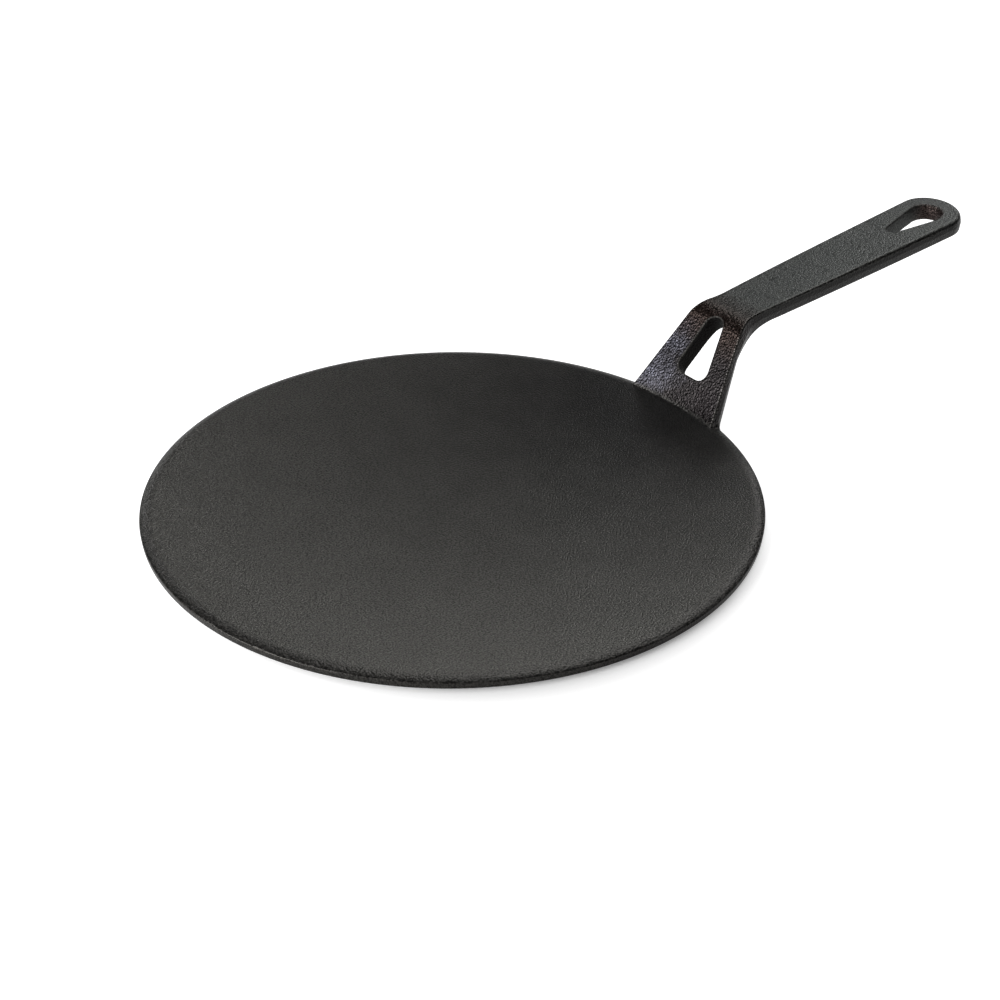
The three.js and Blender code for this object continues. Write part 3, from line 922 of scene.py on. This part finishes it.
def crossed_cells(inside):
    """Cells with corners on both sides of the surface, and their numbers on the grid."""
    filled = np.zeros([n - 1 for n in inside.shape], np.int8)
    for corner in CORNERS:
        filled += inside[tuple(slice(o, n - 1 + o) for o, n in zip(corner, inside.shape))]
    crossed = (filled > 0) & (filled < len(CORNERS))
    cells = np.argwhere(crossed)
    number = np.full(crossed.shape, -1, np.int64)
    number[crossed] = np.arange(len(cells))
    return cells, number


def cell_points(values, cells):
    """In grid steps, the mean of the places where the surface crosses each cell's edges."""
    total = np.zeros((len(cells), 3))
    hits = np.zeros(len(cells))
    for a, b in CELL_EDGES:
        va = values[tuple((cells + a).T)]
        vb = values[tuple((cells + b).T)]
        hit = (va < 0) != (vb < 0)
        t = np.where(hit, va / np.where(hit, va - vb, 1), 0)[:, None]
        total += np.where(hit[:, None], np.array(a) + t * (np.array(b) - np.array(a)), 0)
        hits += hit
    return cells + total / hits[:, None]


def net_faces(inside, number):
    """A face round each grid edge that the surface crosses, turned outwards."""
    faces = []
    for axis in range(3):
        u, v = (axis + 1) % 3, (axis + 2) % 3
        first = [slice(1, n - 1) for n in inside.shape]
        first[axis] = slice(0, inside.shape[axis] - 1)
        second = list(first)
        second[axis] = slice(1, inside.shape[axis])
        here, ahead = inside[tuple(first)], inside[tuple(second)]
        change = np.argwhere(here != ahead)
        leaves = here[tuple(change.T)]
        base = change + 1
        base[:, axis] -= 1
        ring = []
        for du, dv in ((1, 1), (0, 1), (0, 0), (1, 0)):
            cell = base.copy()
            cell[:, u] -= du
            cell[:, v] -= dv
            ring.append(number[tuple(cell.T)])
        ring = np.stack(ring, 1)
        ring[~leaves] = ring[~leaves][:, ::-1]
        faces.append(ring)
    return np.concatenate(faces)


def surface_net(field, low, high, step):
    counts = [int(math.ceil((b - a) / step)) + 1 for a, b in zip(low, high)]
    values = field_on_grid(field, low, counts, step)
    inside = values < 0
    cells, number = crossed_cells(inside)
    points = np.array(low) + step * cell_points(values, cells)
    return slide_to_surface(field, points, step), net_faces(inside, number)


# %% [markdown]
# The tone of the handle depends on its form: edges are lightened, worn bare and partly painted
# highlight, and sides and the window's walls are darkened towards black, painted shade.
# Geometry's Pointiness would find edges, but no sides and no holes. The field knows where it
# bends outwards, which way it faces and how far a hole is, so each point of the mesh keeps these
# three numbers for the material.

# %% Wear, painted highlight and painted shade of the handle
EDGE_REACH = 0.5
SIDE_FROM = 0.6
SIDE_FULL = 0.9


# These values lighten the edges in the material: worn bare and painted highlight.
def edge_wear_and_glint(field, points):
    """How sharply the surface turns outward at each point, from 0 where flat to 1 on an edge."""
    bend = -6 * field(*points.T)
    for k in range(3):
        shift = np.zeros(3)
        shift[k] = EDGE_REACH
        bend = bend + field(*(points + shift).T) + field(*(points - shift).T)
    return np.clip(bend / EDGE_REACH ** 2, 0, 1)


# The material darkens the sides by this share: painted shade.
def side_share(field, points):
    """1 where the surface faces sideways or outward along the handle, 0 where up or down."""
    facing = slope_of(field, points)
    facing /= np.linalg.norm(facing, axis=1)[:, None]
    sideways = np.maximum(np.abs(facing[:, 1]), facing[:, 0])
    return smooth_step(sideways, SIDE_FROM, SIDE_FULL)


# The material darkens the window's walls by this share: painted shade.
def hole_share(points):
    """1 on the wall of a hole, 0 away from it."""
    gap = np.abs(bar_field(*points.T)[2])
    return 1 - smooth_step(gap, HOLE_EDGE, 3 * HOLE_EDGE)


def keep_values(mesh, name, values):
    attribute = mesh.attributes.new(name, "FLOAT", "POINT")
    attribute.data.foreach_set("value", values.astype(np.float32))


# %% Mesh of the handle
NET_STEP = 0.5
ROOM_BEFORE = 9.1
ROOM_BESIDE = 7.0
ROOM_BELOW = 0.6
ROOM_PAST = 1.5


def handle_mesh():
    step = NET_STEP
    low = (FOOT_X - ROOM_BEFORE, -HALF_FOOT - ROOM_BESIDE, -ROOM_BELOW)
    high = (TIP_X + ROOM_PAST, HALF_FOOT + ROOM_BESIDE, GRIP_TOP + ROOM_PAST)
    points, faces = surface_net(handle_field, low, high, step)
    mesh = bpy.data.meshes.new("handle_casting")
    mesh.from_pydata(points.tolist(), [], faces.tolist())
    mesh.validate()
    keep_values(mesh, "edge", edge_wear_and_glint(handle_field, points))
    keep_values(mesh, "side", side_share(handle_field, points))
    keep_values(mesh, "hole", hole_share(points))
    return mesh


casting = handle_mesh()
print("handle: points", len(casting.vertices), "faces", len(casting.polygons))

# %% [markdown]
# The casting has no seam, but the CAD model keeps neck and grip as two nodes, so each needs a
# piece of its own. One mesh cut on the seam's plane keeps the skin and its shading unbroken,
# which two separate meshes wouldn't. A flat hidden cap closes each half.

# %% Cut at the seam
CUT_TOLERANCE = 0.00001


def cut_piece(whole, name, side, node):
    """The neck's side of the seam for 1, the grip's side for -1."""
    work = bmesh.new()
    work.from_mesh(whole)
    geometry = work.verts[:] + work.edges[:] + work.faces[:]
    result = bmesh.ops.bisect_plane(work, geom=geometry, dist=CUT_TOLERANCE,
                                    plane_co=(SEAM_X, 0, 0), plane_no=(side, 0, 0),
                                    clear_outer=True)
    rim = [e for e in result["geom_cut"] if isinstance(e, bmesh.types.BMEdge)]
    bmesh.ops.triangle_fill(work, edges=rim, use_beauty=True)
    for edge in rim:
        edge.smooth = False
    for item in work.faces:
        item.smooth = True
    mesh = bpy.data.meshes.new(name)
    mesh.materials.append(iron)
    keep_piece(name, work, mesh, node)


cut_piece(casting, "handle_neck_casting", 1, "handle_neck")
cut_piece(casting, "handle_grip_casting", -1, "handle_grip")
bpy.data.meshes.remove(casting)

# %% [markdown]
# The camera stands where the photograph was taken from: the rim's ellipse gives its height and
# its roll, and the handle's edges give its side. A Track To constraint would put the plate in
# the middle of the picture. The plate's centre lies off it, so the camera's own matrix is
# written, with a small turn towards that centre's place.

# %% Camera
CAMERA_TURN = math.radians(-38.51)
CAMERA_HEIGHT = math.radians(31.80)
CAMERA_ROLL = math.radians(-0.53)
CAMERA_DISTANCE = 1.2784
FOCAL_PIXELS = 3000.0
PICTURE = 1000.0
PLATE_CENTRE_PIXEL = (452.6, 503.0)
SENSOR_WIDTH = 36.0
CLIP_START = 0.01
CLIP_END = 50.0


def direction(turn, height):
    """Unit vector from the plate to a place at a turn about Z and a height, in radians."""
    level = math.cos(height)
    return Vector((math.sin(turn) * level, -math.cos(turn) * level, math.sin(height)))


def camera_axes(back):
    """Rows of a matrix that looks along -back, with the camera's roll."""
    right = Vector((0, 0, 1)).cross(back).normalized()
    up = back.cross(right)
    rolled_right = math.cos(CAMERA_ROLL) * right + math.sin(CAMERA_ROLL) * up
    rolled_up = -math.sin(CAMERA_ROLL) * right + math.cos(CAMERA_ROLL) * up
    return Matrix((rolled_right, rolled_up, back))


def turn_to_pixel(px, py):
    """Turn that moves what lies straight ahead to a pixel of the picture."""
    ray = Vector(((px - PICTURE / 2) / FOCAL_PIXELS, (PICTURE / 2 - py) / FOCAL_PIXELS, -1))
    yaw = math.atan2(ray.x, -ray.z)
    pitch = math.atan2(ray.y, math.hypot(ray.x, ray.z))
    return Matrix.Rotation(-yaw, 3, "Y") @ Matrix.Rotation(pitch, 3, "X")


def make_camera():
    back = direction(CAMERA_TURN, CAMERA_HEIGHT)
    data = bpy.data.cameras.new("photo_camera")
    data.sensor_width = SENSOR_WIDTH
    data.lens = SENSOR_WIDTH * FOCAL_PIXELS / PICTURE
    data.clip_start = CLIP_START
    data.clip_end = CLIP_END
    camera = bpy.data.objects.new("photo_camera", data)
    place = (turn_to_pixel(*PLATE_CENTRE_PIXEL) @ camera_axes(back)).transposed().to_4x4()
    rim_centre = Vector((0, 0, RIM_HEIGHT * MM))
    place.translation = rim_centre + back * CAMERA_DISTANCE
    camera.matrix_world = place
    bpy.context.scene.collection.objects.link(camera)
    bpy.context.scene.camera = camera
    return camera


camera = make_camera()
print("camera at", [round(v, 3) for v in camera.matrix_world.translation])

# %% [markdown]
# The tawa stands on plain white paper. The lamps light the paper as they light the iron, so it
# keeps the soft shadow, but at a level that suits the iron it comes out grey. More lamp light
# would wash out the iron. So the paper also glows, and only for rays that look at it: fully for
# the camera away from the plate, less in a ring round the plate moved towards the shadow side,
# which paints a soft shadow there over the lamps' own one, and for reflections by a smaller
# share, which makes the paper about white in the iron.

# %% Floor
FLOOR_SIZE = 120.0
FLOOR_GAP = 0.0002
FLOOR_WHITE = 0.86
# The weaker glow near the plate is a painted shadow, its ring moved towards the shadow side.
SHADOW_RING_LIFT = 0.22
FAR_LIFT = 1.0
SHADOW_RING_INNER = 0.106
SHADOW_RING_OUTER = 0.134
SHADOW_RING_OFFSET = 0.028
SHADOW_RING_TURN = CAMERA_TURN + math.radians(20)
MIRROR_SHARE = 0.42


def seen_share(tree):
    """1 for camera rays, a smaller share for mirrored and refracted ones, 0 for all others."""
    path = add_node(tree, "ShaderNodeLightPath")
    bent = plus(tree, path.outputs["Is Glossy Ray"], path.outputs["Is Transmission Ray"])
    return plus(tree, path.outputs["Is Camera Ray"], times(tree, bent, MIRROR_SHARE))


def floor_glow_and_painted_shadow(tree):
    """Glow of the paper, weak within a circle round the plate and moved towards the shadow: a
    painted shadow.
    """
    gap = add_node(tree, "ShaderNodeVectorMath", operation="DISTANCE")
    tree.links.new(add_node(tree, "ShaderNodeTexCoord").outputs["Object"], gap.inputs[0])
    gap.inputs[1].default_value = direction(SHADOW_RING_TURN, 0) * SHADOW_RING_OFFSET
    return ramp(tree, gap.outputs["Value"], SHADOW_RING_INNER, SHADOW_RING_OUTER, SHADOW_RING_LIFT, FAR_LIFT)


def floor_paper():
    material = bpy.data.materials.new("floor_paper")
    material.use_nodes = True
    tree = material.node_tree
    tree.nodes.clear()
    paper = add_node(tree, "ShaderNodeBsdfDiffuse")
    paper.inputs["Color"].default_value = (FLOOR_WHITE, FLOOR_WHITE, FLOOR_WHITE, 1)
    glow = add_node(tree, "ShaderNodeEmission")
    tree.links.new(times(tree, seen_share(tree), floor_glow_and_painted_shadow(tree)), glow.inputs["Strength"])
    both = add_node(tree, "ShaderNodeAddShader")
    tree.links.new(paper.outputs[0], both.inputs[0])
    tree.links.new(glow.outputs[0], both.inputs[1])
    out = add_node(tree, "ShaderNodeOutputMaterial")
    tree.links.new(both.outputs[0], out.inputs["Surface"])
    return material


def make_floor():
    mesh = bpy.data.meshes.new("floor")
    half = FLOOR_SIZE / 2
    corners = [(-half, -half, -FLOOR_GAP), (half, -half, -FLOOR_GAP),
               (half, half, -FLOOR_GAP), (-half, half, -FLOOR_GAP)]
    mesh.from_pydata(corners, [], [(0, 1, 2, 3)])
    mesh.materials.append(floor_paper())
    floor = bpy.data.objects.new("floor", mesh)
    bpy.context.scene.collection.objects.link(floor)
    print("floor", FLOOR_SIZE, "metres wide")


make_floor()

# %% [markdown]
# Dark iron shows little but what it mirrors. Large soft lamps low on the left and high at the
# back do most of the work, as windows would. Narrow ones give the neck and the edges their
# sheen, and a weak wide one beside the camera keeps the near sides readable. A picture of a
# studio round the scene could light it too, but lamps are easier to place one by one. Turns
# are counted from the camera's own, and the world is nearly black.

# %% Light
LAMP_DISTANCE = 1.6
WORLD_LEVEL = 0.01


def softbox(name, turn, height, width, watts, rise=None):
    """A flat lamp that looks at the plate from a direction given in degrees."""
    data = bpy.data.lights.new(name, "AREA")
    data.shape = "RECTANGLE"
    data.size = width
    data.size_y = rise or width
    data.energy = watts
    lamp = bpy.data.objects.new(name, data)
    away = direction(CAMERA_TURN + math.radians(turn), math.radians(height))
    lamp.location = away * LAMP_DISTANCE
    lamp.rotation_mode = "QUATERNION"
    lamp.rotation_quaternion = away.to_track_quat("Z", "Y")
    bpy.context.scene.collection.objects.link(lamp)
    return lamp


lamps = [
    softbox("front_left_low", turn=-60, height=15, width=1.1, watts=20.0),
    softbox("left_wall", turn=-76, height=28, width=1.0, watts=8.0),
    softbox("back_top", turn=165, height=65, width=1.0, watts=5.5),
    softbox("right_top", turn=135, height=50, width=1.1, watts=1.5),
    softbox("strip_left", turn=-98, height=22, width=0.32, watts=1.2),
    softbox("sheen_left", turn=-152, height=22, width=0.32, watts=1.2),
    softbox("sheen_back", turn=180, height=38, width=0.32, watts=0.5),
    softbox("sheen_right", turn=156, height=28, width=0.32, watts=1.5),
    softbox("front_fill", turn=10, height=32, width=2.2, watts=2.2),
    softbox("back_low", turn=180, height=8, width=1.6, watts=0.4, rise=0.35),
]
world = bpy.data.worlds.new("studio")
world.use_nodes = True
sky = world.node_tree.nodes["Background"]
sky.inputs["Color"].default_value = (1, 1, 1, 1)
sky.inputs["Strength"].default_value = WORLD_LEVEL
bpy.context.scene.world = world
bpy.context.scene.view_settings.view_transform = "Standard"
print("lamps", len(lamps), "together", round(sum(lamp.data.energy for lamp in lamps), 1), "W")
